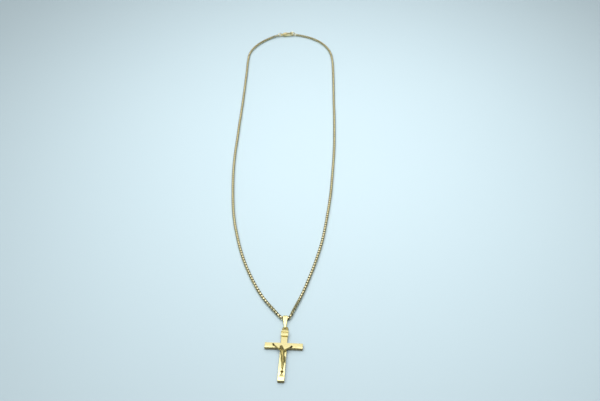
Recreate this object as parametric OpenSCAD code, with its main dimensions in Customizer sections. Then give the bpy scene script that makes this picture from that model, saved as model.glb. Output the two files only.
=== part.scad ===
// Crucifix on a box chain, fastened by a lobster clasp and lying on a flat surface.
// The cross lies towards -Y and the clasp towards +Y, with the surface at z = 0.

/* [Chain] */
// Outside width of the square box chain
chain_w = 1.45; // [1.3:0.05:1.45]
// Thickness of the strip that each link is folded from
link_t = 0.22; // [0.18:0.01:0.24]
// Width of the strip that each link is folded from
link_b = 0.9; // [0.7:0.05:0.95]

/* [Bail] */
// Width of the bail at its fold
bail_w = 2.3; // [2:0.1:2.6]
// Width of the bail at its lower end
bail_tip_w = 0.5; // [0.3:0.1:0.5]
// Thickness of the bail's strip
bail_t = 0.25; // [0.2:0.01:0.3]

/* [Cross] */
// Width of both bars
bar_w = 3; // [2.6:0.1:3.4]
// Thickness of both bars
bar_t = 1.6; // [1.4:0.1:1.8]
// Overall width of the cross bar
arm_span = 17.3; // [16:0.1:18.5]
// Length of the upright above the middle of the cross bar
upright_top = 9.1; // [8.8:0.1:9.2]
// Length of the upright below the middle of the cross bar
upright_foot = 20.1; // [19.5:0.1:21]
// Angle that the lying cross is turned from the Y axis
cross_turn = 2.9; // [2:0.1:4]

/* [Clasp] */
// Thickness of the clasp's body
clasp_t = 1.8; // [1.7:0.1:1.9]
// Thickness of the claw in front of the body
claw_t = 0.9; // [0.8:0.02:0.9]
// Thickness of the lever
lever_t = 0.84; // [0.7:0.02:0.88]
// Radius of the rivet that the lever turns on
pin_r = 0.25; // [0.2:0.01:0.3]
// Angle that the clasp is turned from the X axis
clasp_turn = 8; // [7:0.5:9]

/* [Rings] */
// Wire radius of the ring that the claw holds
hook_wire = 0.25; // [0.2:0.01:0.25]
// Wire radius of the two rings at the chain's ends
end_wire = 0.2; // [0.18:0.01:0.2]

/* [Hidden] */
gold = [0.93, 0.78, 0.42];
round_fn = 48;
lay = chain_w / 2 + 0.005;

// Bail: fold and lower end as circles in the side view, [y, z, outer radius]
bail_at = [1.05, -121];
bail_turn = 0;
fold = [-0.7, 1.14, 1.14];
tip = [-6.35, 0.8, 0.68];

// Cross: the middle of its bars on the surface
cross_at = [0.58, -138.8];
bar_bevel = 0.15;
eye_r = 1.15;
eye_wire = 0.34;
eye_y = upright_top + 1.25;
neck_t = 0.6;

// Clasp: middle of the body, then the places in its own plan view
clasp_at = [-1.4, 156.6, 1.15];
nose = [2.6, 0];
nose_out = 1.95;
nose_in = 1.05;
pivot = [-1.35, -0.7];
tip_reach = 4.42;
lever_reach = 4.34;
lever_bore = pin_r + 0.03;
slot_t = lever_t + 0.14;
tail_eye = [-3.95, 0];
tail_eye_r = 0.9;
tail_eye_wire = 0.35;

// Rings: [x, y, z of the middle, heading, tilt, pitch, middle radius]
tail_ring_at = [-6.47, 155.58, 1.23, 22, 55, 0, 1.25];
hook_ring_at = [2.5, 156.7, 1.76, -15, 110, 0, 1.6];
end_ring_at = [4.57, 156.62, 0.91, -13, 0, 14, 1.2];

// End links: [x, y, z of the middle, heading, roll]
tail_link_at = [-7.72, 155.07, 1.22, 22, 55];
end_link_at = [5.81, 156.33, lay, -13, 0];

// Route of the chain's middle line, from the bail's middle up the left side to the clasp
left_route = [
    [0.85, -122.35, 1.13], [0.3, -122.25, 1.13], [-0.4, -121.95, 1.13], [-1, -121.4, 1.1],
    [-2, -120.15, 0.95], [-3.7, -117.6, 0.8], [-6.3, -113.9, lay], [-9.5, -108.9, lay],
    [-12.6, -102.9, lay], [-15.6, -95.9, lay], [-18.4, -88.4, lay], [-20.9, -80.4, lay],
    [-23.1, -71.9, lay], [-24.9, -63.4, lay], [-26.5, -54.9, lay], [-27.7, -46.4, lay],
    [-28.7, -36.4, lay], [-29.5, -25.4, lay], [-30.1, -13.4, lay], [-30.4, -0.4, lay],
    [-30.3, 12.6, lay], [-29.9, 25.6, lay], [-29.6, 38.6, lay], [-29.2, 51.6, lay],
    [-28.8, 65.6, lay], [-28.5, 79.6, lay], [-28.3, 93.6, lay], [-28.1, 106.6, lay],
    [-28, 118.6, lay], [-27.3, 128.6, lay], [-26.1, 133.3, lay], [-24.5, 137.4, lay],
    [-22.7, 140.8, lay], [-20.5, 144.1, lay], [-18.1, 147.1, lay], [-15.2, 150, 0.8],
    [-12.3, 152.4, 0.95], [-10.1, 153.95, 1.1], [-8.3, 154.84, 1.2]];

// Route from the bail's middle up the right side to the rings
right_route = [
    [1.15, -122.35, 1.13], [1.7, -122.25, 1.13], [2.4, -121.95, 1.13], [3, -121.4, 1.1],
    [3.7, -120, 0.95], [4.6, -117.4, 0.8], [6.1, -113.6, lay], [8.1, -108.4, lay],
    [10.2, -102.4, lay], [12.3, -95.4, lay], [14.4, -88.4, lay], [16.5, -80.4, lay],
    [18.4, -72.4, lay], [20.1, -63.9, lay], [21.4, -55.4, lay], [22.7, -46.4, lay],
    [24, -36.4, lay], [25.2, -25.4, lay], [26.2, -13.4, lay], [27.2, -0.4, lay],
    [28.1, 12.6, lay], [28.7, 25.6, lay], [29.1, 38.6, lay], [29.4, 51.6, lay],
    [29.6, 65.6, lay], [29.9, 79.6, lay], [30.2, 93.6, lay], [30.4, 106.6, lay],
    [30.3, 118.6, lay], [29.5, 128.6, lay], [28.5, 133.2, lay], [27, 137.4, lay],
    [25.5, 140.7, lay], [23.5, 143.9, lay], [21.6, 146.5, lay], [19.2, 148.9, lay],
    [16.5, 151.2, lay], [13.5, 153.1, lay], [10.7, 154.5, lay], [8.3, 155.55, lay],
    [6.37, 156.2, lay]];

// Figure: rows of [x, y, z of the middle, half width, half depth], in the cross's own frame
torso_rows = [
    [-0.58, -2.55, 2.45, 0.34, 0.34], [-0.52, -3, 2.35, 0.6, 0.45], [-0.45, -3.4, 2.25, 0.95, 0.62],
    [-0.38, -4, 2.25, 1.05, 0.76], [-0.3, -4.8, 2.25, 1, 0.76], [-0.2, -5.6, 2.2, 0.84, 0.66],
    [-0.08, -6.4, 2.15, 0.74, 0.6], [0.05, -7.2, 2.15, 0.82, 0.62], [0.15, -8.2, 2.1, 0.86, 0.6],
    [0.2, -9.2, 2.1, 0.72, 0.56]];
head_rows = [
    [-1.14, -1.22, 2.62, 0.16, 0.16], [-1.1, -1.34, 2.64, 0.4, 0.38], [-1.02, -1.6, 2.68, 0.6, 0.56],
    [-0.93, -1.95, 2.7, 0.64, 0.62], [-0.85, -2.3, 2.72, 0.54, 0.56], [-0.77, -2.6, 2.72, 0.4, 0.44],
    [-0.7, -2.85, 2.7, 0.2, 0.22]];
hair_rows = [
    [-1.2, -1.5, 2.42, 0.4, 0.4], [-1.1, -1.9, 2.4, 0.72, 0.5], [-1, -2.4, 2.35, 0.74, 0.48],
    [-0.95, -2.9, 2.3, 0.6, 0.4], [-0.95, -3.25, 2.25, 0.35, 0.3]];
left_arm_rows = [
    [-0.95, -3.55, 2.2, 0.3, 0.3], [-1.25, -3.35, 2.2, 0.44, 0.46], [-1.8, -2.85, 2.14, 0.37, 0.4],
    [-2.8, -1.85, 2.02, 0.32, 0.36], [-3.6, -0.95, 1.96, 0.3, 0.34], [-4.2, -0.25, 1.9, 0.2, 0.26],
    [-4.5, 0.05, 1.88, 0.3, 0.26], [-4.8, 0.4, 1.88, 0.28, 0.22], [-5, 0.65, 1.86, 0.12, 0.12]];
right_arm_rows = [
    [0.2, -3.6, 2.2, 0.3, 0.3], [0.5, -3.45, 2.2, 0.44, 0.46], [1, -3.1, 2.14, 0.37, 0.4],
    [1.7, -2.5, 2.02, 0.32, 0.36], [2.4, -1.8, 1.96, 0.3, 0.34], [3, -1.2, 1.9, 0.2, 0.26],
    [3.3, -0.9, 1.88, 0.3, 0.26], [3.6, -0.6, 1.88, 0.28, 0.22], [3.85, -0.4, 1.86, 0.12, 0.12]];
left_leg_rows = [
    [-0.1, -8.8, 2.05, 0.46, 0.5], [-0.08, -10, 2.2, 0.46, 0.5], [-0.05, -11.2, 2.4, 0.4, 0.44],
    [-0.02, -12, 2.48, 0.36, 0.4], [0, -12.8, 2.36, 0.36, 0.4], [0.1, -13.8, 2.08, 0.22, 0.28],
    [0.14, -14.3, 1.98, 0.26, 0.3], [0.16, -14.9, 1.9, 0.3, 0.24], [0.18, -15.2, 1.86, 0.18, 0.14]];
right_leg_rows = [
    [0.48, -8.8, 2.05, 0.46, 0.5], [0.45, -10, 2.25, 0.46, 0.5], [0.42, -11.2, 2.45, 0.4, 0.44],
    [0.4, -12, 2.54, 0.36, 0.4], [0.38, -12.8, 2.46, 0.36, 0.4], [0.3, -13.8, 2.28, 0.22, 0.28],
    [0.24, -14.2, 2.24, 0.26, 0.3], [0.2, -14.75, 2.2, 0.3, 0.22], [0.18, -15.05, 2.16, 0.18, 0.12]];
cloth_rows = [
    [0.02, -6.75, 2.12, 0.86, 0.62], [0.08, -7.1, 2.14, 1.04, 0.74], [0.15, -7.9, 2.14, 1.1, 0.76],
    [0.22, -8.8, 2.12, 1.06, 0.72], [0.26, -9.4, 2.14, 0.96, 0.68], [0.26, -9.65, 2.14, 0.84, 0.6]];
knot_rows = [
    [0.9, -7.05, 2.2, 0.16, 0.2], [1.05, -7.4, 2.2, 0.32, 0.36], [1.12, -8, 2.1, 0.26, 0.36],
    [1.16, -8.8, 2, 0.28, 0.36], [1.16, -9.5, 1.96, 0.2, 0.3]];

// Points and faces of a tapered bar through rows of [x, y, z, half width, half depth]
function unit(v) = v / norm(v);
function spot(row) = [row[0], row[1], row[2]];
function heading(rows, i) =
    unit(spot(rows[min(i + 1, len(rows) - 1)]) - spot(rows[max(i - 1, 0)]));
function ring(row, t, sides) =
    let (side = unit(cross(t, [0, 0, 1])), up = cross(side, t))
    [for (k = [0 : sides - 1])
        let (a = (k + 0.5) * 360 / sides)
        spot(row) + side * row[3] * cos(a) + up * row[4] * sin(a)];
function ring_faces(n, sides) = concat(
    [[for (k = [sides - 1 : -1 : 0]) k]],
    [for (i = [0 : n - 2]) for (k = [0 : sides - 1])
        let (next = (k + 1) % sides)
        [i * sides + k, i * sides + next, (i + 1) * sides + next, (i + 1) * sides + k]],
    [[for (k = [0 : sides - 1]) (n - 1) * sides + k]]);

module sweep(rows, sides) {
    points = [for (i = [0 : len(rows) - 1]) each ring(rows[i], heading(rows, i), sides)];
    polyhedron(points, ring_faces(len(rows), sides));
}

function arc(middle, r, a0, a1, n) =
    [for (i = [0 : n]) let (a = a0 + (a1 - a0) * i / n) middle + r * [cos(a), sin(a)]];

// Chain: an eight-sided bar along the route, with its last link formed on the end
module strand(route, link_at) {
    r = chain_w / 2 / cos(180 / 8);
    sweep([for (p = route) [p[0], p[1], p[2], r, r]], 8);
    translate([link_at[0], link_at[1], link_at[2]])
        rotate([0, 0, link_at[3]])
            rotate([link_at[4], 0, 0])
                square_link();
}

module square_link() {
    hole = chain_w - 2 * link_t;
    difference() {
        cube([chain_w, link_b, chain_w], center = true);
        cube([hole, link_b + 1, hole], center = true);
    }
}

module chain_left() color(gold) strand(left_route, tail_link_at);

module chain_right() color(gold) strand(right_route, end_link_at);

// Bail: a strip folded over the chain and closed round the cross's eye
module bail_side(inset) {
    hull() {
        translate([fold[0], fold[1]]) circle(r = fold[2] - inset, $fn = 40);
        translate([tip[0], tip[1]]) circle(r = tip[2] - inset, $fn = 40);
    }
}

module bail() color(gold) {
    front = fold[0] + fold[2] + 0.1;
    back = tip[0] - tip[2] - 0.1;
    translate([bail_at[0], bail_at[1], 0]) rotate([0, 0, bail_turn]) intersection() {
        rotate([90, 0, 90]) linear_extrude(height = bail_w, center = true) difference() {
            bail_side(0);
            bail_side(bail_t);
        }
        linear_extrude(height = 3)
            polygon([[-bail_w / 2, front], [-bail_w / 2, fold[0]], [-bail_tip_w / 2, back],
                     [bail_tip_w / 2, back], [bail_w / 2, fold[0]], [bail_w / 2, front]]);
    }
}

// Cross: two bevelled bars, the eye, the scroll, the figure and the ornament, all one piece
module bar(length) {
    w = bar_w / 2;
    rotate([90, 0, 0]) linear_extrude(height = length)
        polygon([[-w, 0], [w, 0], [w, bar_t - bar_bevel], [w - bar_bevel, bar_t],
                 [bar_bevel - w, bar_t], [-w, bar_t - bar_bevel]]);
}

module bars() {
    translate([0, upright_top, 0]) bar(upright_top + upright_foot);
    translate([arm_span / 2, 0, 0]) rotate([0, 0, -90]) bar(arm_span);
}

module eye() {
    translate([0, eye_y, bar_t / 2])
        rotate_extrude($fn = round_fn) translate([eye_r, 0]) circle(r = eye_wire, $fn = 24);
    // Neck that carries the ring and fills the lower part of it
    translate([0, 0, bar_t / 2 - neck_t / 2]) linear_extrude(height = neck_t) difference() {
        union() {
            translate([0, eye_y]) circle(r = eye_r, $fn = round_fn);
            polygon([[-1.45, upright_top - 0.2], [1.45, upright_top - 0.2],
                     [1.36, eye_y - 0.15], [-1.36, eye_y - 0.15]]);
        }
        translate([0, eye_y + 0.51]) circle(r = 0.52, $fn = 32);
    }
}

module scroll() {
    w = 3.4;
    low = 5.65;
    high = 8;
    curl = 0.3;
    translate([-w / 2, low, bar_t - 0.1]) cube([w, high - low, 0.5]);
    for (y = [low, high])
        translate([-w / 2 - 0.05, y, bar_t + 0.2]) rotate([0, 90, 0])
            cylinder(r = curl, h = w + 0.1, $fn = 24);
}

module figure() {
    sweep(torso_rows, 16);
    sweep(head_rows, 14);
    sweep(hair_rows, 12);
    sweep(left_arm_rows, 10);
    sweep(right_arm_rows, 10);
    sweep(left_leg_rows, 10);
    sweep(right_leg_rows, 10);
    sweep(cloth_rows, 18);
    sweep(knot_rows, 8);
}

module foot_block() {
    translate([-0.55, -15.5, bar_t - 0.1]) cube([1.5, 0.9, 0.45]);
}

// Ornament below the feet: five ribs spread like a fan
module fan() {
    for (a = [-26, -13, 0, 13, 26])
        translate([0.25, -15.4, bar_t]) rotate([0, 0, a]) translate([0, -1.1, 0])
            rotate([90, 0, 0]) cylinder(r1 = 0.12, r2 = 0.26, h = 1.5, $fn = 16);
    translate([0.25, -15.9, bar_t]) sphere(r = 0.42, $fn = 24);
}

module crucifix() color(gold) translate([cross_at[0], cross_at[1], 0]) rotate([0, 0, -cross_turn]) {
    bars();
    eye();
    scroll();
    figure();
    foot_block();
    fan();
}

// Clasp: everything below is in the clasp's own plan view, x towards the nose
module in_clasp() translate(clasp_at) rotate([0, 0, clasp_turn]) children();

claw_outline = concat(
    arc(nose, nose_out, -78, 90, 20),
    [[0.6, 1.85], [-1.2, 1.62], [-2.4, 1.25], [-3.2, 0.7], [-3.2, -0.7], [-2.5, -1.3],
     [-1.4, -1.55], [-0.6, -1.45], [-0.3, -0.9], [-0.25, 0], [0, 0.6], [0.7, 0.95]],
    arc(nose, nose_in, 90, -78, 16));

body_outline = [
    [0.3, 1.75], [-1.2, 1.5], [-2.3, 1.15], [-3, 0.6], [-3, -0.6], [-2.4, -1.18],
    [-1.4, -1.4], [-0.75, -1.3], [-0.45, -0.8], [-0.4, 0], [-0.15, 0.75]];

module plate(outline, t) linear_extrude(height = t, center = true) polygon(outline);

module clasp_body() color(gold) in_clasp() difference() {
    union() {
        plate(claw_outline, claw_t);
        plate(body_outline, clasp_t);
        translate([tail_eye[0], tail_eye[1], 0])
            rotate_extrude($fn = round_fn) translate([tail_eye_r, 0])
                circle(r = tail_eye_wire, $fn = 24);
    }
    // Way for the lever: its swing at the tip, its slot in the body and the rivet's hole
    intersection() {
        translate([pivot[0], pivot[1], 0]) cylinder(r = tip_reach, h = 3, center = true, $fn = 96);
        translate([0.4, -4, -1.5]) cube([4, 3.5, 3]);
    }
    translate([-2.55, -2.2, -slot_t / 2]) cube([2.6, 2.35, slot_t]);
    translate([pivot[0], pivot[1], 0]) cylinder(r = pin_r, h = 3, center = true, $fn = round_fn);
}

lever_outline = concat(
    [[-0.9, -1.62], [0.6, -1.8], [1.8, -1.86], [3.4, -1.8], [3.4, -0.95]],
    [[1.6, -1], [0.2, -0.85], [-0.6, -0.35]],
    arc(pivot, 0.6, 50, 180, 8),
    [[-2.1, -1.2], [-2.45, -1.85], [-2.2, -2.1], [-1.7, -1.8]]);

module clasp_lever() color(gold) in_clasp() difference() {
    intersection() {
        plate(lever_outline, lever_t);
        translate([pivot[0], pivot[1], 0])
            cylinder(r = lever_reach, h = 3, center = true, $fn = 96);
    }
    translate([pivot[0], pivot[1], 0])
        cylinder(r = lever_bore, h = 3, center = true, $fn = round_fn);
}

module clasp_pin() color(gold) in_clasp()
    translate([pivot[0], pivot[1], 0])
        cylinder(r = pin_r, h = clasp_t, center = true, $fn = round_fn);

// Round wire rings
module wire_ring(at, wire) {
    translate([at[0], at[1], at[2]]) rotate([0, 0, at[3]]) rotate([at[4], 0, 0])
        rotate([0, at[5], 0])
            rotate_extrude($fn = round_fn) translate([at[6], 0]) circle(r = wire, $fn = 24);
}

module tail_ring() color(gold) wire_ring(tail_ring_at, end_wire);

module hook_ring() color(gold) wire_ring(hook_ring_at, hook_wire);

module end_ring() color(gold) wire_ring(end_ring_at, end_wire);

chain_left();
chain_right();
bail();
crucifix();
clasp_body();
clasp_lever();
clasp_pin();
tail_ring();
hook_ring();
end_ring();
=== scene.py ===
import math
import random

import bmesh
import bpy
from mathutils import Matrix, Vector, geometry


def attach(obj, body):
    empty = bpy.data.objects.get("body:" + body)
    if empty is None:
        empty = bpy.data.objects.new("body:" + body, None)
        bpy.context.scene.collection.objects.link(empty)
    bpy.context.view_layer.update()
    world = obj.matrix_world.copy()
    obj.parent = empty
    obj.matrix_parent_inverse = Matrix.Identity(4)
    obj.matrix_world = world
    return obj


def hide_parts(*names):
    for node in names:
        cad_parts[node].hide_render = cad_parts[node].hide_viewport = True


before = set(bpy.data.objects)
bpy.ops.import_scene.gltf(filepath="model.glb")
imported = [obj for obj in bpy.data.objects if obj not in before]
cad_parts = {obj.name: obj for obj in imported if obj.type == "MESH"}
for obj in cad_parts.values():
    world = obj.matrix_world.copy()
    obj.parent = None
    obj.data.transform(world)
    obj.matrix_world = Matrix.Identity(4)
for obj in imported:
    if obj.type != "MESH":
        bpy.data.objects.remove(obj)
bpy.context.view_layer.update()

# Camera: it stands before the foot of the cross and looks along the necklace, as high and as
# steep as the narrowing of the loop in the photograph gives it.
scene = bpy.context.scene
slope_down = math.radians(39.1)
lens = bpy.data.cameras.new("camera")
lens.lens = 50
lens.sensor_width = 36
lens.clip_start = 0.01
lens.clip_end = 40
camera = bpy.data.objects.new("camera", lens)
camera.location = (0.00792, -0.38938, 0.2894)
camera.rotation_euler = (math.pi / 2 - slope_down, 0, 0)
scene.collection.objects.link(camera)
scene.camera = camera
scene.view_settings.view_transform = "Standard"

# Table top: the smooth pale blue board that the necklace lies on. It is wide enough to fill the
# view from every side, and has the faint mottle of satin plastic. A painted pool of light lies on
# it: its colour darkens from the middle towards the rim, as painted shade.
board_half = 6
board_gap = 0.00001
board_shape = bmesh.new()
bmesh.ops.create_grid(board_shape, x_segments=1, y_segments=1, size=board_half)
bmesh.ops.translate(board_shape, verts=board_shape.verts, vec=(0, 0, -board_gap))
board_mesh = bpy.data.meshes.new("board")
board_shape.to_mesh(board_mesh)
board_shape.free()
board = bpy.data.objects.new("board", board_mesh)
scene.collection.objects.link(board)


def add_node(nodes, kind, values=None, **settings):
    """Adds a shader node with these settings, and with these values on its inputs."""
    node = nodes.new("ShaderNode" + kind)
    for setting, value in settings.items():
        setattr(node, setting, value)
    for socket, value in (values or {}).items():
        node.inputs[socket].default_value = value
    return node


satin = bpy.data.materials.new("pale_blue_board")
satin.use_nodes = True
nodes, links = satin.node_tree.nodes, satin.node_tree.links
shader = nodes["Principled BSDF"]
shader.inputs["Roughness"].default_value = 0.5
shader.inputs["Specular IOR Level"].default_value = 0.3
place = add_node(nodes, "TexCoord")
mottle = add_node(nodes, "TexNoise", {"Scale": 9, "Detail": 3})
tones = add_node(nodes, "Mix", {"A": (0.705, 0.88, 0.965, 1), "B": (0.725, 0.9, 0.98, 1)},
                 data_type="RGBA")
# Painted pool of light: a round gradient about the middle of the board darkens its colour to less
# than half towards the rim.
painted_pool_place = add_node(nodes, "Mapping", {"Location": (0.032, 0.015, 0), "Scale": (0.355, 0.45, 1)},
                vector_type="TEXTURE")
painted_pool_fade = add_node(nodes, "TexGradient", gradient_type="SPHERICAL")
painted_pool_light = add_node(nodes, "MapRange", {"To Min": 0.45, "To Max": 1},
                  interpolation_type="SMOOTHSTEP")
shaded = add_node(nodes, "Mix", {"Factor": 1}, data_type="RGBA", blend_type="MULTIPLY")
links.new(place.outputs["Object"], mottle.inputs["Vector"])
links.new(mottle.outputs["Fac"], tones.inputs["Factor"])
links.new(place.outputs["Object"], painted_pool_place.inputs["Vector"])
links.new(painted_pool_place.outputs["Vector"], painted_pool_fade.inputs["Vector"])
links.new(painted_pool_fade.outputs["Fac"], painted_pool_light.inputs["Value"])
links.new(tones.outputs["Result"], shaded.inputs["A"])
links.new(painted_pool_light.outputs["Result"], shaded.inputs["B"])
links.new(shaded.outputs["Result"], shader.inputs["Base Color"])
board_mesh.materials.append(satin)

# Light: one wide soft box hangs behind the necklace, so that the gold that lies flat mirrors it
# and the upright faces show their shaded side. A lamp overhead lights the board, in a dim room
# with paler walls.
room = bpy.data.worlds.new("room")
room.use_nodes = True
nodes, links = room.node_tree.nodes, room.node_tree.links
nodes["Background"].inputs["Color"].default_value = (0.86, 0.95, 1, 1)
around = add_node(nodes, "TexCoord")
height = add_node(nodes, "SeparateXYZ")
walls = add_node(nodes, "MapRange", {"From Min": 0.02, "From Max": 0.4, "To Min": 0.55,
                                     "To Max": 0.17}, interpolation_type="SMOOTHSTEP")
links.new(around.outputs["Generated"], height.inputs["Vector"])
links.new(height.outputs["Z"], walls.inputs["Value"])
links.new(walls.outputs["Result"], nodes["Background"].inputs["Strength"])
scene.world = room


def soft_box(name, middle, aim, width, depth, watts, colour):
    """A rectangular area light at middle that faces aim."""
    light = bpy.data.lights.new(name, "AREA")
    light.shape = "RECTANGLE"
    light.size, light.size_y = width, depth
    light.energy = watts
    light.color = colour
    box = bpy.data.objects.new(name, light)
    box.location = middle
    box.rotation_euler = (Vector(aim) - Vector(middle)).to_track_quat("-Z", "Y").to_euler()
    scene.collection.objects.link(box)


lamp_white = (1, 0.99, 0.97)
soft_box("soft_box", middle=(-0.25, 1.1, 1.1), aim=(0, -0.03, 0), width=3.0, depth=1.3, watts=11,
         colour=lamp_white)
soft_box("overhead_lamp", middle=(-0.27, -0.15, 1.6), aim=(-0.27, -0.15, 0), width=2.1, depth=1.78,
         watts=27.5, colour=lamp_white)

# Box chain: square links folded from flat strip, each threaded through the one before at a
# quarter turn, so that the chain is as thick as one link. It lies from the clasp's jump ring
# down one side, through the bail and up the other side; two pieces meet inside the bail. A stop
# of a route has a height only where the chain doesn't lie on the board.
link_out = 1.45
strip_thick = 0.22
strip_wide = 0.9
outer_round = 0.38
inner_round = 0.12
edge_round = 0.075
pitch_wished = 0.93
lift = 0.005
lying = 0.00073
roll_at_clasp, roll_lying, turn_by_bail = -55, -90, 42
sway_most = 1.5
tail_link = (-0.00772, 0.15507, 0.00122)
bail_link = (0.001, -0.12235, 0.00113)
end_link = (0.00581, 0.15633, 0.00073)
left_route = [
    (0.00085, -0.12235, 0.00113), (0.0003, -0.12225, 0.00113), (-0.0004, -0.12195, 0.00113),
    (-0.001, -0.1214, 0.0011), (-0.002, -0.12015, 0.00095), (-0.0037, -0.1176, 0.0008),
    (-0.0063, -0.1139), (-0.0095, -0.1089), (-0.0126, -0.1029), (-0.0156, -0.0959),
    (-0.0184, -0.0884), (-0.0209, -0.0804), (-0.0231, -0.0719), (-0.0249, -0.0634),
    (-0.0265, -0.0549), (-0.0277, -0.0464), (-0.0287, -0.0364), (-0.0295, -0.0254),
    (-0.0301, -0.0134), (-0.0304, -0.0004), (-0.0303, 0.0126), (-0.0299, 0.0256),
    (-0.0296, 0.0386), (-0.0292, 0.0516), (-0.0288, 0.0656), (-0.0285, 0.0796), (-0.0283, 0.0936),
    (-0.0281, 0.1066), (-0.028, 0.1186), (-0.0273, 0.1286), (-0.0261, 0.1333), (-0.0245, 0.1374),
    (-0.0227, 0.1408), (-0.0205, 0.1441), (-0.0181, 0.1471), (-0.0152, 0.15, 0.0008),
    (-0.0123, 0.1524, 0.00095), (-0.0101, 0.15395, 0.0011), (-0.0083, 0.15484, 0.0012)]
right_route = [
    (0.00115, -0.12235, 0.00113), (0.0017, -0.12225, 0.00113), (0.0024, -0.12195, 0.00113),
    (0.003, -0.1214, 0.0011), (0.0037, -0.12, 0.00095), (0.0046, -0.1174, 0.0008),
    (0.0061, -0.1136), (0.0081, -0.1084), (0.0102, -0.1024), (0.0123, -0.0954), (0.0144, -0.0884),
    (0.0165, -0.0804), (0.0184, -0.0724), (0.0201, -0.0639), (0.0214, -0.0554), (0.0227, -0.0464),
    (0.024, -0.0364), (0.0252, -0.0254), (0.0262, -0.0134), (0.0272, -0.0004), (0.0281, 0.0126),
    (0.0287, 0.0256), (0.0291, 0.0386), (0.0294, 0.0516), (0.0296, 0.0656), (0.0299, 0.0796),
    (0.0302, 0.0936), (0.0304, 0.1066), (0.0303, 0.1186), (0.0295, 0.1286), (0.0285, 0.1332),
    (0.027, 0.1374), (0.0255, 0.1407), (0.0235, 0.1439), (0.0216, 0.1465), (0.0192, 0.1489),
    (0.0165, 0.1512), (0.0135, 0.1531), (0.0107, 0.1545), (0.0083, 0.15555), (0.00637, 0.1562)]

mm = 0.001


def ease(x):
    """0 up to x = 0, 1 from x = 1, and a smooth rise between."""
    x = min(max(x, 0), 1)
    return x * x * (3 - 2 * x)


def round_edges(shape, edges, radius, steps):
    """Rounds these edges of a shape."""
    bmesh.ops.bevel(shape, geom=edges, offset=radius, segments=steps, profile=0.5,
                    affect="EDGES", material=-1)


def folded_link():
    """One square link, in millimetres: it lies along x, and one looks through it along y."""
    link = bmesh.new()
    bmesh.ops.create_cube(link, size=1, matrix=Matrix.Diagonal((link_out, strip_wide, link_out, 1)))
    ends = [face for face in link.faces if abs(face.normal.y) > 0.9]
    bmesh.ops.inset_individual(link, faces=ends, thickness=strip_thick, use_even_offset=True)
    rims = list(dict.fromkeys(edge for face in ends for edge in face.edges))
    bmesh.ops.delete(link, geom=ends, context="FACES_ONLY")
    bmesh.ops.bridge_loops(link, edges=rims)
    for reach, radius, steps in ((link_out / 2, outer_round, 3),
                                 (link_out / 2 - strip_thick, inner_round, 1)):
        folds = [edge for edge in link.edges
                 if all(abs(abs(v.co.x) - reach) < 0.001 and abs(abs(v.co.z) - reach) < 0.001
                        for v in edge.verts)
                 and edge.verts[0].co.y * edge.verts[1].co.y < 0]
        round_edges(link, folds, radius, steps)
    sides = [edge for edge in link.edges
             if all(abs(abs(v.co.y) - strip_wide / 2) < 0.001 for v in edge.verts)
             and edge.calc_face_angle(0) > 1]
    round_edges(link, sides, edge_round, 1)
    bmesh.ops.recalc_face_normals(link, faces=link.faces)
    # Painted shade: the inside of each link, its side rims and the turn of its folds are marked to
    # be darkened, for the shade between the links.
    link_shade = link.verts.layers.float.new("painted_shade")
    for corner in link.verts:
        lean = corner.normal
        inner = (corner.co.x * lean.x + corner.co.z * lean.z) < 0
        rim = ease((abs(lean.y) - 0.3) / 0.5)
        square_on = max(abs(lean.x), abs(lean.z)) / math.hypot(lean.x, lean.z)
        fold = 0.9 * ease((0.985 - square_on) / 0.2)
        corner[link_shade] = 1 if inner else max(rim, fold)
    return link


def join(shape, other):
    """Adds another shape to a shape."""
    mesh = bpy.data.meshes.new("join")
    other.to_mesh(mesh)
    other.free()
    shape.from_mesh(mesh)
    bpy.data.meshes.remove(mesh)


def smooth_line(stops):
    """A smooth close row of points through the stops of a route."""
    ahead = [b - a for a, b in zip(stops, stops[1:])]
    leans = [ahead[0].normalized()]
    for a, b in zip(ahead, ahead[1:]):
        leans.append((a.normalized() * b.length + b.normalized() * a.length).normalized())
    leans.append(ahead[-1].normalized())
    line = []
    for p, q, u, v in zip(stops, stops[1:], leans, leans[1:]):
        third = (q - p).length / 3
        line += geometry.interpolate_bezier(p, p + u * third, q - v * third, q, 48)[:-1]
    return line + [stops[-1]]


def even_places(line, count):
    """The count points at equal distances along a close row of points, with their headings."""
    reach = [0]
    for a, b in zip(line, line[1:]):
        reach.append(reach[-1] + (b - a).length)
    step = reach[-1] / (count - 1)
    places, at = [], 0
    for k in range(count):
        want = min(k * step, reach[-1])
        while at < len(line) - 2 and reach[at + 1] < want:
            at += 1
        share = (want - reach[at]) / (reach[at + 1] - reach[at])
        places.append(line[at].lerp(line[at + 1], share))
    headings = [(places[min(k + 1, count - 1)] - places[max(k - 1, 0)]).normalized()
                for k in range(count)]
    return places, headings, step


stops = (tail_link, *reversed(left_route), *right_route, end_link)
whole_line = smooth_line([Vector((*stop, lying)[:3]) for stop in stops])
length = sum((b - a).length for a, b in zip(whole_line, whole_line[1:]))
count = round(length / mm / pitch_wished)
count += count % 2
places, headings, step = even_places(whole_line, count)
middle_link = min(range(count), key=lambda k: (places[k] - Vector(bail_link)).length)

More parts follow.
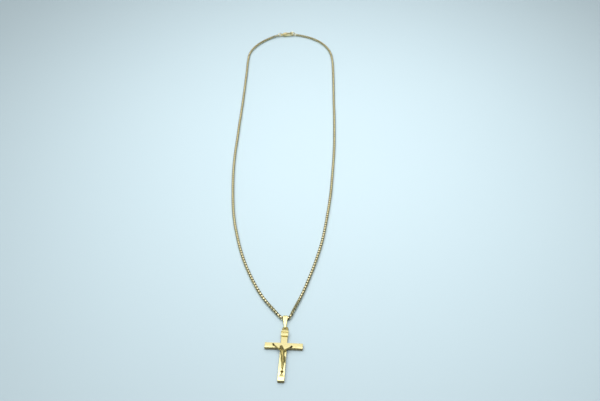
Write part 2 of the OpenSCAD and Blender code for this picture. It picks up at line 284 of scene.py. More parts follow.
draw = random.Random(11)
pattern = folded_link()
strands = {"chain_left": bmesh.new(), "chain_right": bmesh.new()}
for k, (spot, ahead) in enumerate(zip(places, headings)):
    along = k * step / mm
    from_bail = abs(k - middle_link) * step / mm
    from_end = min(along, (count - 1 - k) * step / mm)
    # The chain rolls a little this way and that, but not at its ends and at the bail.
    loose = ease((from_bail - 3) / 8) * ease((from_end - 6) / 12)
    roll = roll_at_clasp + (roll_lying - roll_at_clasp) * ease(along / 9)
    roll += loose * (4.5 * math.sin(along / 15.3 + 0.6) + 3.5 * math.sin(along / 6.1))
    roll += loose * draw.uniform(-sway_most, sway_most)
    roll += turn_by_bail * ease((from_bail - 2) / 4.5) * (1 - ease((from_bail - 12) / 7))
    turn = math.radians(roll + 90 * (k % 2))
    stance = link_out / 2 * (abs(math.cos(turn)) + abs(math.sin(turn))) + lift
    spot = Vector((spot.x, spot.y, max(spot.z, stance * mm)))
    side = Vector((0, 0, 1)).cross(ahead).normalized()
    frame_of = Matrix((ahead, side, ahead.cross(side))).transposed().to_4x4()
    sway = (Matrix.Rotation(math.radians(loose * draw.uniform(-sway_most, sway_most)), 4, "Z")
            @ Matrix.Rotation(math.radians(loose * draw.uniform(-sway_most, sway_most)), 4, "Y"))
    one = pattern.copy()
    tone = one.faces.layers.float.new("tone")
    shade = draw.random()
    for face in one.faces:
        face[tone] = shade
    bmesh.ops.transform(one, verts=one.verts, matrix=(
        Matrix.Translation(spot) @ frame_of @ sway @ Matrix.Rotation(turn, 4, "X")
        @ Matrix.Scale(mm, 4)))
    join(strands["chain_left" if k < middle_link else "chain_right"], one)
pattern.free()


def add_piece(name, shape, finish, body="necklace", sharp=35, flat=1):
    """Gives a shape in metres its finish and body. It is shaded soft below the sharp angle, and
    flat on faces larger than flat, in square millimetres."""
    mesh = bpy.data.meshes.new(name)
    large = [face.calc_area() > flat * mm * mm for face in shape.faces]
    shape.to_mesh(mesh)
    shape.free()
    mesh.materials.append(finish)
    mesh.polygons.foreach_set("use_smooth", [not one for one in large])
    mesh.set_sharp_from_angle(angle=math.radians(sharp))
    piece = bpy.data.objects.new(name, mesh)
    scene.collection.objects.link(piece)
    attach(piece, body)
    return piece


darker_tone = 0.93
patch_reach = 0.6
# Extra roughness where the painted shade lies.
roughness_in_shade = 0.22
mark_depth = 0.00002


def gold(name, bright, deep, glossy, dull, grain, patch):
    """Polished gold: soft patches between two tones, fine rubbing marks, and painted shade: a deep
    colour laid where the piece's painted_shade attribute rises to 1, broken up by the rubbing
    noise, with rougher gloss there."""
    finish = bpy.data.materials.new(name)
    finish.use_nodes = True
    nodes, links = finish.node_tree.nodes, finish.node_tree.links
    shader = nodes["Principled BSDF"]
    shader.inputs["Metallic"].default_value = 1
    place = add_node(nodes, "TexCoord")
    clouds = add_node(nodes, "TexNoise", {"Scale": patch, "Detail": 2})
    own_tone = add_node(nodes, "Attribute", attribute_name="tone")
    blend = add_node(nodes, "Math", {1: patch_reach}, operation="MULTIPLY_ADD", use_clamp=True)
    darker = [c * darker_tone for c in bright]
    colours = add_node(nodes, "Mix", {"A": (*darker, 1), "B": (*bright, 1)}, data_type="RGBA")
    links.new(place.outputs["Object"], clouds.inputs["Vector"])
    links.new(clouds.outputs["Fac"], blend.inputs[0])
    links.new(own_tone.outputs["Fac"], blend.inputs[2])
    links.new(blend.outputs["Value"], colours.inputs["Factor"])

    # Painted shade: the deep colour stands in for the shade and dark reflections in hollows and on
    # sides; the painted_shade attribute says where, and the rubbing noise breaks it up.
    painted_shade = add_node(nodes, "Attribute", attribute_name="painted_shade")
    rub = add_node(nodes, "TexNoise", {"Scale": grain, "Detail": 4})
    painted_shade_share = add_node(nodes, "Math", operation="MULTIPLY")
    painted_shade_breakup = add_node(nodes, "MapRange", {"From Min": 0.1, "From Max": 0.45})
    painted_shade_mix = add_node(nodes, "Mix", {"B": (*deep, 1)}, data_type="RGBA")
    links.new(place.outputs["Object"], rub.inputs["Vector"])
    links.new(rub.outputs["Fac"], painted_shade_breakup.inputs["Value"])
    links.new(painted_shade_breakup.outputs["Result"], painted_shade_share.inputs[1])
    links.new(painted_shade.outputs["Fac"], painted_shade_share.inputs[0])
    links.new(painted_shade_share.outputs["Value"], painted_shade_mix.inputs["Factor"])
    links.new(colours.outputs["Result"], painted_shade_mix.inputs["A"])
    links.new(painted_shade_mix.outputs["Result"], shader.inputs["Base Color"])

    gloss = add_node(nodes, "MapRange", {"From Min": 0.3, "From Max": 0.7, "To Min": glossy,
                                         "To Max": dull})
    rougher = add_node(nodes, "Math", {1: roughness_in_shade}, operation="MULTIPLY_ADD")
    marks = add_node(nodes, "Bump", {"Strength": 0.3, "Distance": mark_depth})
    links.new(rub.outputs["Fac"], gloss.inputs["Value"])
    links.new(painted_shade_share.outputs["Value"], rougher.inputs[0])
    links.new(gloss.outputs["Result"], rougher.inputs[2])
    links.new(rougher.outputs["Value"], shader.inputs["Roughness"])
    links.new(rub.outputs["Fac"], marks.inputs["Height"])
    links.new(marks.outputs["Normal"], shader.inputs["Normal"])
    return finish


# The chain's deep colour is the painted shade inside and along the sides of the links.
chain_gold = gold("chain_gold", (1.0, 0.89, 0.54), (0.055, 0.039, 0.016), 0.09, 0.19, 2600, 140)
for name, strand in strands.items():
    links_piece = add_piece(name + "_links", strand, chain_gold, sharp=50)
    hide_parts(name)

# Bail: one strip, wide where it folds over the chain and drawn in to a tip that closes round
# the eye of the cross. It is bent from sheet, and its edges are broken and polished.
bail_wide = 2.3
bail_tip_wide = 0.5
bail_thick = 0.25
bail_edge = 0.06
bail_crown = 0.05
bail_draw = 1.12
fold_middle, fold_radius = Vector((0, -0.7, 1.14)), 1.14
tip_middle, tip_radius = Vector((0, -6.35, 0.8)), 0.68


def bend(shape, rows, middle, turn, steps):
    """Carries a row of edges round middle, in the plane across x, and gives the last row."""
    bent = bmesh.ops.spin(shape, geom=rows, cent=middle, axis=(1, 0, 0), angle=turn, steps=steps)
    return [item for item in bent["geom_last"] if not isinstance(item, bmesh.types.BMFace)]


def draw_out(shape, rows, way, steps):
    """Carries a row of edges straight along way, and gives the last row."""
    drawn = bmesh.ops.spin(shape, geom=rows, angle=0, axis=(1, 0, 0), dvec=way / steps, steps=steps)
    return [item for item in drawn["geom_last"] if not isinstance(item, bmesh.types.BMFace)]


def put_up(name, shape):
    """Makes an object of a shape, for modifiers to work on."""
    mesh = bpy.data.meshes.new(name)
    shape.to_mesh(mesh)
    shape.free()
    work = bpy.data.objects.new(name, mesh)
    scene.collection.objects.link(work)
    return work


def take_down(work):
    """Removes such an object again."""
    mesh = work.data
    bpy.data.objects.remove(work)
    bpy.data.meshes.remove(mesh)


def with_modifiers(shape, *changes):
    """The shape after Blender's own modifiers, each a kind with its settings."""
    work = put_up("work", shape)
    for kind, settings in changes:
        modifier = work.modifiers.new(kind, kind)
        for setting, value in settings.items():
            setattr(modifier, setting, value)
    done = bmesh.new()
    done.from_object(work, bpy.context.evaluated_depsgraph_get())
    take_down(work)
    return done


def paint_shade_in_hollows(shape, passes, depth):
    """Notes on each corner how far it lies in a hollow, as painted shade: the shape, smoothed,
    rises over it.
    """
    smooth = shape.copy()
    for _ in range(passes):
        bmesh.ops.smooth_vert(smooth, verts=smooth.verts, factor=0.5, use_axis_x=True,
                              use_axis_y=True, use_axis_z=True)
    painted_shade = shape.verts.layers.float.new("painted_shade")
    shape.normal_update()
    for corner, moved in zip(shape.verts, smooth.verts):
        rise = (moved.co - corner.co).dot(corner.normal)
        corner[painted_shade] = min(max(rise / depth, 0), 1)
    smooth.free()


def in_frame(shape, place):
    """Brings a shape in millimetres to its place in the frame, in metres."""
    bmesh.ops.transform(shape, verts=shape.verts, matrix=Matrix.Scale(mm, 4) @ place)
    return shape


centres = tip_middle - fold_middle
toward = math.atan2(centres.z, centres.y) % math.tau
square = math.pi / 2 - math.asin((fold_radius - tip_radius) / centres.length)
upper, lower = toward - square, toward + square
strip = bmesh.new()
ends = [strip.verts.new(fold_middle + Vector((
    side * bail_wide / 2, fold_radius * math.cos(lower), fold_radius * math.sin(lower))))
    for side in (-1, 1)]
bmesh.ops.subdivide_edges(strip, edges=[strip.edges.new(ends)], cuts=7)
row = list(strip.verts) + list(strip.edges)
row = bend(strip, row, fold_middle, upper - lower + math.tau, 28)
touch = Vector((0, math.cos(upper), math.sin(upper)))
row = draw_out(strip, row, centres + touch * (tip_radius - fold_radius), 14)
row = bend(strip, row, tip_middle, lower - upper, 18)
touch = Vector((0, math.cos(lower), math.sin(lower)))
row = draw_out(strip, row, -centres + touch * (fold_radius - tip_radius), 14)
bmesh.ops.remove_doubles(strip, verts=strip.verts, dist=0.001)
bail_back = tip_middle.y - tip_radius
for corner in strip.verts:
    down = min(max((fold_middle.y - corner.co.y) / (fold_middle.y - bail_back), 0), 1)
    narrow = 1 + (bail_tip_wide / bail_wide - 1) * down ** bail_draw
    crown = 1 - (2 * corner.co.x / bail_wide) ** 2
    if corner.co.z > 1.2:
        corner.co.z += bail_crown * crown * math.sin(math.pi * down)
    corner.co.x *= narrow
bmesh.ops.recalc_face_normals(strip, faces=strip.faces)
strip = with_modifiers(
    strip,
    ("SOLIDIFY", {"thickness": bail_thick, "offset": -1, "use_even_offset": True}),
    ("BEVEL", {"width": bail_edge, "segments": 3, "limit_method": "ANGLE", "angle_limit": 1}))
# Painted shade in the bail's hollows. Its gold is a slightly darker copy of the cross's gold,
# painted shade that tones down how bright its face shines under the lamps.
paint_shade_in_hollows(strip, 6, 0.03)
bail_gold_shaded = gold("bail_gold_shaded", (0.86, 0.77, 0.38), (0.26, 0.19, 0.08), 0.13, 0.22, 2200, 260)
bail_place = Matrix.Translation((1.05, -121, 0))
bail = add_piece("bail_strip", in_frame(strip, bail_place), bail_gold_shaded, sharp=50)
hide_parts("bail")

# Cross: two flat bars of cast gold with broken edges. The front is polished bright; the sides are
# rougher and carry painted shade, darker the more they turn from facing up. The bail hangs on a
# round eye at the head.
bar_wide = 3
bar_thick = 1.6
bar_edge = 0.16
side_painted_shade, most_painted_shade = 1.45, 0.95
arm_reach = 8.65
head_reach = 9.1
foot_reach = 20.1
cross_place = Matrix.Translation((0.58, -138.8, 0)) @ Matrix.Rotation(math.radians(-2.9), 4, "Z")
bars = bmesh.new()
bmesh.ops.create_grid(bars, x_segments=3, y_segments=3, size=3)
columns = (-arm_reach, -bar_wide / 2, bar_wide / 2, arm_reach)
rows = (-foot_reach, -bar_wide / 2, bar_wide / 2, head_reach)
for corner in bars.verts:
    corner.co.x = columns[round(corner.co.x / 2 + 1.5)]
    corner.co.y = rows[round(corner.co.y / 2 + 1.5)]
spare = [face for face in bars.faces if abs(face.calc_center_median().x) > bar_wide / 2
         and abs(face.calc_center_median().y) > bar_wide / 2]
bmesh.ops.delete(bars, geom=spare, context="FACES")
front = bmesh.ops.extrude_face_region(bars, geom=list(bars.faces), use_keep_orig=True)["geom"]
bmesh.ops.translate(bars, verts=[v for v in front if isinstance(v, bmesh.types.BMVert)],
                    vec=(0, 0, bar_thick))
bmesh.ops.recalc_face_normals(bars, faces=bars.faces)
bmesh.ops.dissolve_limit(bars, angle_limit=0.01, verts=bars.verts, edges=bars.edges)
outer = [edge for edge in bars.edges if edge.calc_face_angle_signed(0) > 0.5]
round_edges(bars, outer, bar_edge, 3)
bmesh.ops.triangulate(bars, faces=[face for face in bars.faces if len(face.verts) > 4])
# Painted shade: each face is darkened by how far it turns from facing up, so the sides of the bars
# come out dark.
painted_shade = bars.faces.layers.float.new("painted_shade")
for face in bars.faces:
    face[painted_shade] = min(max(side_painted_shade - side_painted_shade * face.normal.z, 0), most_painted_shade)
cross_gold = gold("cross_gold", (0.93, 0.83, 0.42), (0.24, 0.18, 0.09), 0.13, 0.22, 1500, 220)
cross = add_piece("cross_bars", in_frame(bars, cross_place), cross_gold, sharp=28)
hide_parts("crucifix")


# Eye: the ring that the bail holds, cast in one with a flat neck that fills its lower part and
# widens to the head of the cross. The cast skin is rougher than the polished bars, and wears the
# figure's darker copy of the gold, painted shade, with more painted shade in its hollows.
def round_ring(radius, wire, sides, steps, start=0, cut=0):
    """A ring of round wire in the plane of x and y, closed or with a fine cut at start."""
    ring = bmesh.new()
    bmesh.ops.create_circle(ring, segments=sides, radius=wire, matrix=(
        Matrix.Rotation(start + cut / 2, 4, "Z") @ Matrix.Translation((radius, 0, 0))
        @ Matrix.Rotation(math.pi / 2, 4, "X")))
    bmesh.ops.spin(ring, geom=list(ring.verts) + list(ring.edges), cent=(0, 0, 0), axis=(0, 0, 1),
                   angle=math.tau - cut, steps=steps, use_merge=cut == 0)
    if cut:
        bmesh.ops.holes_fill(ring, edges=[edge for edge in ring.edges if edge.is_boundary])
    bmesh.ops.recalc_face_normals(ring, faces=ring.faces)
    return ring


def arc(middle, radius, start, end, steps):
    """Points on an arc in plan, from one angle in degrees to another."""
    turns = [math.radians(start + (end - start) * k / steps) for k in range(steps + 1)]
    return [(middle[0] + radius * math.cos(t), middle[1] + radius * math.sin(t)) for t in turns]


def plate(shape, outline, thick):
    """Adds a flat plate of this outline, half of it above z = 0 and half below."""
    corners = bmesh.ops.create_circle(shape, segments=len(outline), radius=1,
                                      cap_ends=True)["verts"]
    for corner, (x, y) in zip(corners, outline):
        corner.co = (x, y, -thick / 2)
    top = bmesh.ops.extrude_face_region(shape, geom=corners[0].link_faces,
                                        use_keep_orig=True)["geom"]
    bmesh.ops.translate(shape, verts=[v for v in top if isinstance(v, bmesh.types.BMVert)],
                        vec=(0, 0, thick))
    bmesh.ops.recalc_face_normals(shape, faces=shape.faces)


def round_pin(radius, tall, spot):
    """A round pin along z, with its middle at this spot of the plan."""
    pin = bmesh.new()
    bmesh.ops.create_cone(pin, segments=40, radius1=radius, radius2=radius, depth=tall,
                          cap_ends=True, matrix=Matrix.Translation((*spot, 0)))
    return pin


def cut_away(shape, cutters):
    """The shape less the cutters."""
    cutter = put_up("cutter", cutters)
    shape = with_modifiers(shape, ("BOOLEAN", {"operation": "DIFFERENCE", "solver": "EXACT",
                                               "object": cutter, "use_self": True}))
    take_down(cutter)
    return shape


def mould(shape, voxel, soften):
    """Melts the overlapping forms of a shape into one skin."""
    return with_modifiers(shape, ("REMESH", {"mode": "VOXEL", "voxel_size": voxel}),
                          ("SMOOTH", {"factor": 0.5, "iterations": soften}))


# Painted shade: the figure's gold is a much darker copy of the cross's gold, for the dark that its
# rounded skin mirrors.
corpus_gold_shaded = gold("corpus_gold_shaded", (0.42, 0.35, 0.13), (0.06, 0.042, 0.012), 0.3, 0.44, 1800, 500)
eye_middle = head_reach + 1.25
eye_radius = 1.15
eye_wire = 0.34
neck_thick = 0.6
hole_radius = 0.52
through = 3
eye = bmesh.new()
plate(eye, [(-1.45, head_reach - 0.2), (1.45, head_reach - 0.2), (1.36, eye_middle - 0.15)]
      + arc((0, eye_middle), eye_radius, 0, 180, 24) + [(-1.36, eye_middle - 0.15)], neck_thick)
eye = cut_away(eye, round_pin(hole_radius, through, (0, eye_middle + 0.51)))
eye_ring = round_ring(eye_radius, eye_wire, 24, 64)
bmesh.ops.translate(eye_ring, verts=eye_ring.verts, vec=(0, eye_middle, 0))
join(eye, eye_ring)
eye = mould(eye, 0.035, 4)
paint_shade_in_hollows(eye, 12, 0.04)
eye_place = cross_place @ Matrix.Translation((0, 0, bar_thick / 2))
eye = add_piece("cross_eye", in_frame(eye, eye_place), corpus_gold_shaded, sharp=180)
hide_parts("crucifix")

# Scroll: a bare plate for a title, its two ends rolled forward, laid on the head of the cross
# and soldered on a low backing.
scroll_low = 5.65
scroll_high = 8
scroll_wide = 3.44
roll_radius = 0.28
roll_height = bar_thick + 0.32
flat_height = bar_thick + 0.1
scroll_thick = 0.1
scroll_bulge, scroll_waist = 0.07, 0.03
roll_angle, roll_steps = 400, 18
sheet = bmesh.new()
ends = [sheet.verts.new((side * scroll_wide / 2, 0, 0)) for side in (-1, 1)]
bmesh.ops.subdivide_edges(sheet, edges=[sheet.edges.new(ends)], cuts=9)
track = []
for k in range(roll_steps + 1):
    turn = math.radians(270 - roll_angle * (1 - k / roll_steps))
    width = roll_radius * (0.5 + 0.5 * k / roll_steps)
    track.append((scroll_low + width * math.cos(turn), roll_height + width * math.sin(turn)))
for k in range(1, 8):
    share = k / 8
    track.append((scroll_low + (scroll_high - scroll_low) * share,
                  flat_height + scroll_bulge * math.sin(math.pi * share)))
for k in range(roll_steps + 1):
    turn = math.radians(roll_angle * k / roll_steps - 90)
    width = roll_radius * (1 - 0.5 * k / roll_steps)
    track.append((scroll_high + width * math.cos(turn), roll_height + width * math.sin(turn)))
row = list(sheet.verts) + list(sheet.edges)
bmesh.ops.translate(sheet, verts=sheet.verts, vec=(0, *track[0]))
for here, there in zip(track, track[1:]):
    row = draw_out(sheet, row, Vector((0, there[0] - here[0], there[1] - here[1])), 1)
for corner in sheet.verts:
    up = (corner.co.y - scroll_low) / (scroll_high - scroll_low)
    corner.co.x *= 1 - scroll_waist * math.sin(up * math.pi)
bmesh.ops.recalc_face_normals(sheet, faces=sheet.faces)
sheet = with_modifiers(
    sheet,
    ("SOLIDIFY", {"thickness": scroll_thick, "offset": 0}),
    ("BEVEL", {"width": 0.025, "segments": 2, "limit_method": "ANGLE", "angle_limit": 1}))
# Painted shade in the hollows of the rolled ends.
paint_shade_in_hollows(sheet, 10, 0.03)
bmesh.ops.create_cube(sheet, size=1, matrix=Matrix.Translation(
    (0, (scroll_low + scroll_high) / 2, bar_thick + 0.05)) @ Matrix.Diagonal((3.1, 1.9, 0.14, 1)))
scroll = add_piece("cross_scroll", in_frame(sheet, cross_place), cross_gold, sharp=40)
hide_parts("crucifix")

# Figure: cast in one with the cross, leaning, with the arms spread and the feet crossed. The cast
# skin is softer than the bars; its darker copy of the gold and the painted shade in its hollows
# leave it brightest on what stands out.
def between(rows, steps):
    """The rows of numbers with steps - 1 more rows on a smooth curve between each two."""
    full = []
    for k in range(len(rows) - 1):
        p, q, r, s = (rows[min(max(k + n, 0), len(rows) - 1)] for n in (-1, 0, 1, 2))
        for n in range(steps):
            t = n / steps
            full.append([0.5 * (2 * b + (c - a) * t + (2 * a - 5 * b + 4 * c - d) * t * t
                                + (3 * b - a - 3 * c + d) * t ** 3)
                         for a, b, c, d in zip(p, q, r, s)])
    return full + [list(rows[-1])]


def ball(shape, x, y, z, wide, high, deep, place=Matrix()):
    """Adds an ellipsoid with these half sizes along x, y and z."""
    part = bmesh.new()
    bmesh.ops.create_uvsphere(part, u_segments=20, v_segments=14, radius=1, matrix=(
        place @ Matrix.Translation((x, y, z)) @ Matrix.Diagonal((wide, high, deep, 1))))
    join(shape, part)


def limb(shape, rows, place=Matrix(), sides=14, steps=4):
    """Adds a round-ended limb through rows of x, y, z, half width and, if not the same, depth."""
    part = bmesh.new()
    rows = between([(*row, row[3])[:5] for row in rows], steps)
    spots = [place @ Vector(row[:3]) for row in rows]
    loops = []
    for k, (spot, row) in enumerate(zip(spots, rows)):
        ahead = (spots[min(k + 1, len(rows) - 1)] - spots[max(k - 1, 0)]).normalized()
        upright = Vector((0, 0, 1)) if abs(ahead.z) < 0.95 else Vector((0, 1, 0))
        across = ahead.cross(upright).normalized()
        turned = Matrix((across, across.cross(ahead), ahead)).transposed().to_4x4()
        size = place.median_scale
        section = Matrix.Diagonal((row[3] * size, row[4] * size, 1, 1))
        placed = Matrix.Translation(spot) @ turned @ section
        circle = bmesh.ops.create_circle(part, segments=sides, radius=1, matrix=placed)["verts"]
        loops.append(list(dict.fromkeys(edge for v in circle for edge in v.link_edges)))
        if k in (0, len(rows) - 1):
            ball(shape, 0, 0, 0, 1, 1, min(row[3], row[4]) * size, placed)
    for a, b in zip(loops, loops[1:]):
        bmesh.ops.bridge_loops(part, edges=a + b)
    bmesh.ops.holes_fill(part, edges=loops[0] + loops[-1])
    bmesh.ops.recalc_face_normals(part, faces=part.faces)
    join(shape, part)


def press(shape, spots):
    """Presses soft dents of x, y, z, radius and depth into a skin. Less than 0 raises it."""
    shape.normal_update()
    moves = []
    for corner in shape.verts:
        at, depth = corner.co, 0
        for x, y, z, radius, deep in spots:
            gap = ((at.x - x) ** 2 + (at.y - y) ** 2 + (at.z - z) ** 2) / radius ** 2
            if gap < 1:
                depth += deep * (1 - gap) ** 2
        if depth:
            moves.append((corner, corner.normal * depth))
    for corner, move in moves:
        corner.co -= move


def dents(start, end, count, radius, depth):
    """A row of dents from start to end, as one groove."""
    return [(*Vector(start).lerp(Vector(end), k / (count - 1)), radius, depth)
            for k in range(count)]


body = bmesh.new()
limb(body, [(-0.52, -3.05, 2.3, 0.5, 0.4), (-0.45, -3.5, 2.24, 0.9, 0.56),
            (-0.38, -4, 2.22, 1.0, 0.7), (-0.3, -4.8, 2.22, 0.94, 0.72),
            (-0.2, -5.6, 2.2, 0.8, 0.62), (-0.08, -6.4, 2.15, 0.7, 0.54),
            (0.05, -7.2, 2.12, 0.78, 0.56), (0.15, -8.2, 2.1, 0.84, 0.56),
            (0.2, -9.2, 2.08, 0.7, 0.5)], sides=28)
limb(body, [(-0.5, -3.35, 2.3, 0.38), (-0.62, -2.95, 2.42, 0.3), (-0.76, -2.5, 2.54, 0.29)])
ball(body, -0.84, -4.02, 2.7, 0.4, 0.34, 0.2)
ball(body, 0.02, -4.08, 2.7, 0.4, 0.34, 0.2)
limb(body, [(-0.58, -3.42, 2.66, 0.07), (-0.95, -3.26, 2.6, 0.07), (-1.28, -3.14, 2.44, 0.06)])
limb(body, [(-0.4, -3.44, 2.66, 0.07), (-0.05, -3.36, 2.6, 0.07), (0.42, -3.3, 2.46, 0.06)])
for row in range(3):
    for side in (-1, 1):
        ball(body, -0.23 + 0.075 * row + side * 0.19, -5.28 - 0.43 * row, 2.66 - 0.04 * row,
             0.17, 0.2, 0.14)
ball(body, -1.3, -3.32, 2.2, 0.42, 0.4, 0.4)
ball(body, 0.52, -3.42, 2.2, 0.42, 0.4, 0.4)
limb(body, [(-1.0, -3.5, 2.2, 0.34), (-1.35, -3.26, 2.2, 0.38, 0.4),
            (-1.8, -2.85, 2.14, 0.33, 0.36), (-2.15, -2.5, 2.1, 0.34, 0.37),
            (-2.7, -1.95, 2.03, 0.25, 0.28), (-3.1, -1.5, 2, 0.29, 0.3),
            (-3.6, -0.95, 1.95, 0.24, 0.27), (-4.15, -0.31, 1.9, 0.15, 0.17),
            (-4.35, -0.08, 1.87, 0.17, 0.13)])
limb(body, [(0.25, -3.55, 2.2, 0.34), (0.58, -3.38, 2.2, 0.38, 0.4), (1.0, -3.08, 2.14, 0.33, 0.36),
            (1.3, -2.83, 2.1, 0.34, 0.37), (1.75, -2.42, 2.03, 0.25, 0.28),
            (2.1, -2.08, 2, 0.29, 0.3), (2.5, -1.7, 1.95, 0.24, 0.27),
            (2.95, -1.25, 1.9, 0.15, 0.17), (3.15, -1.05, 1.87, 0.17, 0.13)])
limb(body, [(-0.12, -8.6, 2.05, 0.46, 0.5), (-0.1, -9.6, 2.14, 0.47, 0.52),
            (-0.07, -10.6, 2.3, 0.41, 0.46), (-0.04, -11.4, 2.42, 0.34, 0.38),
            (-0.02, -12, 2.46, 0.33, 0.36), (-0.02, -12.6, 2.34, 0.35, 0.4),
            (0.04, -13.2, 2.2, 0.28, 0.34), (0.1, -13.85, 2.06, 0.19, 0.24),
            (0.14, -14.25, 1.98, 0.22, 0.27), (0.15, -14.65, 1.9, 0.25, 0.2),
            (0.16, -14.95, 1.84, 0.26, 0.14)])
limb(body, [(0.5, -8.6, 2.05, 0.46, 0.5), (0.48, -9.6, 2.16, 0.47, 0.52),
            (0.45, -10.6, 2.34, 0.41, 0.46), (0.42, -11.4, 2.47, 0.34, 0.38),
            (0.4, -12, 2.52, 0.33, 0.36), (0.4, -12.6, 2.44, 0.35, 0.4),
            (0.36, -13.2, 2.36, 0.28, 0.34), (0.3, -13.85, 2.28, 0.19, 0.24),
            (0.25, -14.2, 2.24, 0.22, 0.26), (0.21, -14.6, 2.2, 0.25, 0.18),
            (0.19, -14.88, 2.14, 0.25, 0.13)])
for x, z in ((-0.03, 2.72), (0.4, 2.78)):
    ball(body, x, -11.98, z, 0.18, 0.2, 0.14)
    ball(body, x, -12.4, z - 0.12, 0.1, 0.16, 0.12)
body = mould(body, 0.042, 3)
grooves = dents((-0.45, -3.6, 2.9), (-0.34, -4.75, 2.98), 12, 0.2, 0.012)
grooves += dents((-0.28, -5.0, 2.9), (-0.13, -6.1, 2.76), 12, 0.16, 0.01)
grooves += [(-0.11, -6.42, 2.7, 0.15, 0.06)]
for side, x in ((-1, -0.36), (1, -0.3)):
    for k in range(4):
        start = (x + side * 0.42, -4.62 - 0.3 * k, 2.86 - 0.03 * k)
        grooves += dents(start, (start[0] + side * 0.42, start[1] + 0.2, 2.45), 9, 0.16, 0.012)
    grooves += dents((x + side * 0.1, -4.86, 2.94), (x + side * 0.62, -5.72, 2.6), 12, 0.18, 0.018)
grooves += dents((0.19, -10.2, 2.4), (0.2, -12.8, 2.5), 12, 0.25, 0.04)
press(body, grooves)

head_size = 0.95
head_place = (Matrix.Translation((-0.93, -2.0, 2.6)) @ Matrix.Rotation(math.radians(14), 4, "Z")
              @ Matrix.Rotation(math.radians(-8), 4, "Y")
              @ Matrix.Rotation(math.radians(12), 4, "X")
              @ Matrix.Scale(head_size, 4))
head = bmesh.new()
ball(head, 0, 0.24, -0.08, 0.68, 0.74, 0.7, head_place)
ball(head, 0, -0.3, 0.1, 0.5, 0.66, 0.55, head_place)
ball(head, 0, 0.4, 0.2, 0.47, 0.36, 0.44, head_place)
ball(head, 0, -0.84, 0.38, 0.2, 0.16, 0.2, head_place)
ball(head, 0, -0.6, 0.4, 0.3, 0.24, 0.27, head_place)
for side in (-1, 1):
    ball(head, side * 0.27, -0.27, 0.42, 0.2, 0.17, 0.17, head_place)
    ball(head, side * 0.25, 0.0, 0.53, 0.13, 0.085, 0.1, head_place)
    limb(head, [(side * 0.11, -0.01, 0.58, 0.024), (side * 0.19, -0.045, 0.622, 0.026),
                (side * 0.29, -0.045, 0.605, 0.026), (side * 0.38, -0.005, 0.53, 0.022)],
         head_place, 8)
    ball(head, side * 0.085, -0.33, 0.75, 0.06, 0.055, 0.07, head_place)
    limb(head, [(side * 0.44, 0.12, 0.46, 0.05), (side * 0.28, 0.2, 0.58, 0.06),
                (side * 0.09, 0.16, 0.63, 0.055)], head_place, 10)
    for k in range(3):
        limb(head, [(side * 0.02, -0.45 - 0.02 * k, 0.72 - 0.02 * k, 0.038),
                    (side * (0.13 + 0.02 * k), -0.47 - 0.03 * k, 0.7 - 0.02 * k, 0.045),
                    (side * 0.25, -0.52 - 0.04 * k, 0.62 - 0.02 * k, 0.038),
                    (side * (0.33 + 0.02 * k), -0.61 - 0.04 * k, 0.5 - 0.02 * k, 0.028)],
             head_place, 10)
    for k in range(5):
        out = 0.45 - 0.1 * k
        limb(head, [(side * out, -0.48 - 0.09 * k, 0.25 + 0.075 * k, 0.07),
                    (side * (out - 0.02), -0.76 - 0.06 * k, 0.34 + 0.05 * k, 0.075),
                    (side * (out * 0.62), -1.0 - 0.045 * k, 0.37 + 0.025 * k, 0.06),
                    (side * (out * 0.4), -1.14 - 0.02 * k, 0.34 + 0.02 * k, 0.035)], head_place, 10)
    limb(head, [(side * 0.3, 0.66, 0.0, 0.26), (side * 0.52, 0.32, 0.02, 0.22),
                (side * 0.57, -0.1, 0.0, 0.19), (side * 0.6, -0.5, -0.05, 0.19),
                (side * 0.66, -0.95, -0.14, 0.2), (side * 0.62, -1.35, -0.24, 0.16),
                (side * 0.6, -1.65, -0.34, 0.1)], head_place)
    for k, (high, front) in enumerate(((0.7, 0.46), (0.79, 0.35), (0.87, 0.22), (0.93, 0.08),
                                       (0.97, -0.1), (0.96, -0.3), (0.9, -0.5))):
        sway = 0.025 * (-1) ** k
        limb(head, [(side * 0.02, high, front, 0.055),
                    (side * 0.28, high - 0.06, front, 0.065),
                    (side * (0.47 + 0.035 * k), 0.36, front * 0.88 - 0.03, 0.07),
                    (side * (0.54 + 0.04 * k + sway), -0.06, 0.3 - 0.11 * k, 0.065),
                    (side * (0.57 + 0.045 * k - sway), -0.46, 0.24 - 0.1 * k, 0.07),
                    (side * (0.6 + 0.055 * k + sway), -0.92, 0.1 - 0.07 * k, 0.07),
                    (side * (0.53 + 0.06 * k - sway), -1.32, -0.04 - 0.06 * k, 0.065),
                    (side * (0.46 + 0.065 * k), -1.66 - 0.1 * (k % 2), -0.2 - 0.03 * k, 0.035)],
             head_place, 8, 3)
limb(head, [(0, 0.16, 0.62, 0.05), (0, -0.06, 0.71, 0.055), (0, -0.2, 0.79, 0.065),
            (0, -0.3, 0.82, 0.075)], head_place, 12)
limb(head, [(-0.13, -0.575, 0.635, 0.028), (-0.05, -0.555, 0.685, 0.036),
            (0.05, -0.555, 0.685, 0.036), (0.13, -0.575, 0.635, 0.028)], head_place, 10)
limb(head, [(-0.11, -0.64, 0.625, 0.034), (0, -0.655, 0.67, 0.046), (0.11, -0.64, 0.625, 0.034)],
     head_place, 10)
head = mould(head, 0.02, 2)
face = [(side * 0.15, 0.06, 0.62, 0.14, 0.025) for side in (-1, 1)]
face += [(side * 0.3, 0.09, 0.56, 0.13, 0.02) for side in (-1, 1)]
face += [(side * x, -0.6, 0.7, 0.07, 0.01) for side in (-1, 1) for x in (0.02, 0.07, 0.12)]
press(head, [(*(head_place @ Vector((x, y, z))), radius * head_size, deep * head_size)
             for x, y, z, radius, deep in face])

